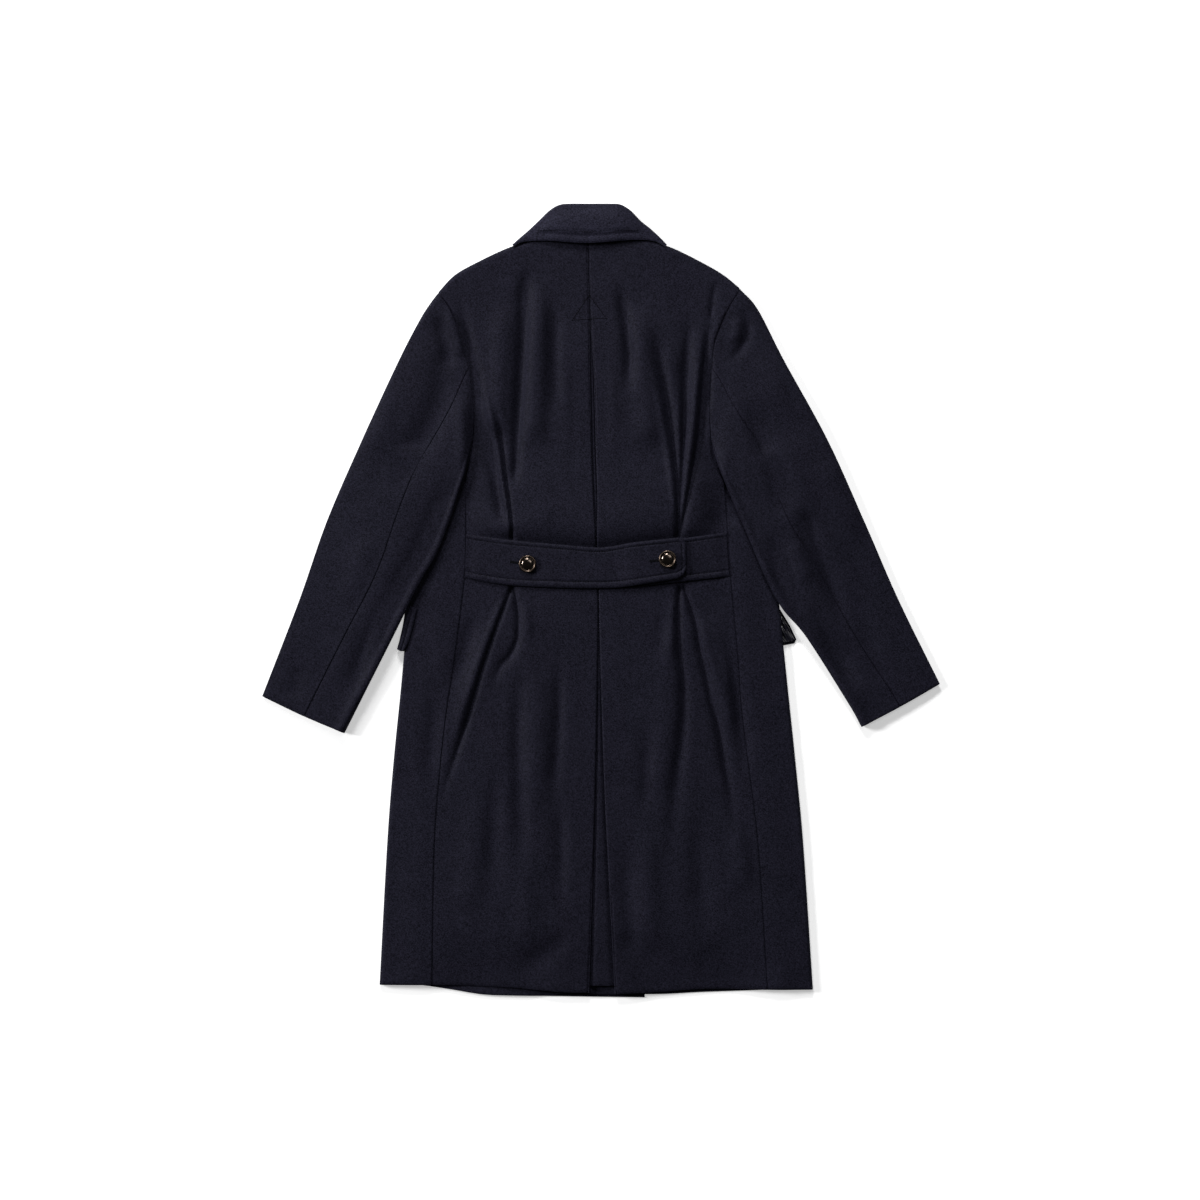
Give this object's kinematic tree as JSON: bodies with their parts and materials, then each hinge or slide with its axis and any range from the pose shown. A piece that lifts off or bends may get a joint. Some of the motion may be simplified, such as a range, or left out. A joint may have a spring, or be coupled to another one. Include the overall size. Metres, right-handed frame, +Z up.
{
  "type": "double-breasted long coat",
  "caption": "Long double-breasted wool coat laid flat, face down, with a turn-down collar, two-piece sleeves, a buttoned half belt and an inverted pleat down the back.",
  "frame": {"origin": "centre of the coat's bounding box, on the surface it lies on", "axes": "+Y from hem to collar, +Z up off the surface towards the back of the coat, -X to the wearer's left"},
  "size_m": [0.9906, 1.1601, 0.0287],
  "materials": {
    "wool": "dark navy melton wool with a short nap and a fine heathered twill",
    "satin": "black lining satin",
    "button": "dark bronze rim round a polished gunmetal dome"
  },
  "bodies": {
    "root": {"back_left": "wool", "back_right": "wool", "pleat_underlay": "wool", "front_left": "wool", "front_right": "wool", "lapel_left": "wool", "lapel_right": "wool", "collar_fall": "wool", "collar_stand": "wool", "top_sleeve_left": "wool", "top_sleeve_right": "wool", "under_sleeve_left": "wool", "under_sleeve_right": "wool", "half_belt_long": "wool", "half_belt_short": "wool", "pocket_flap_left": "wool", "pocket_flap_right": "wool", "flap_lining_right": "satin", "belt_button_left": "button", "belt_button_right": "button", "front_button_top_left": "button", "front_button_top_right": "button", "front_button_middle_left": "button", "front_button_middle_right": "button", "front_button_bottom_left": "button", "front_button_bottom_right": "button"}
  },
  "joints": []
}
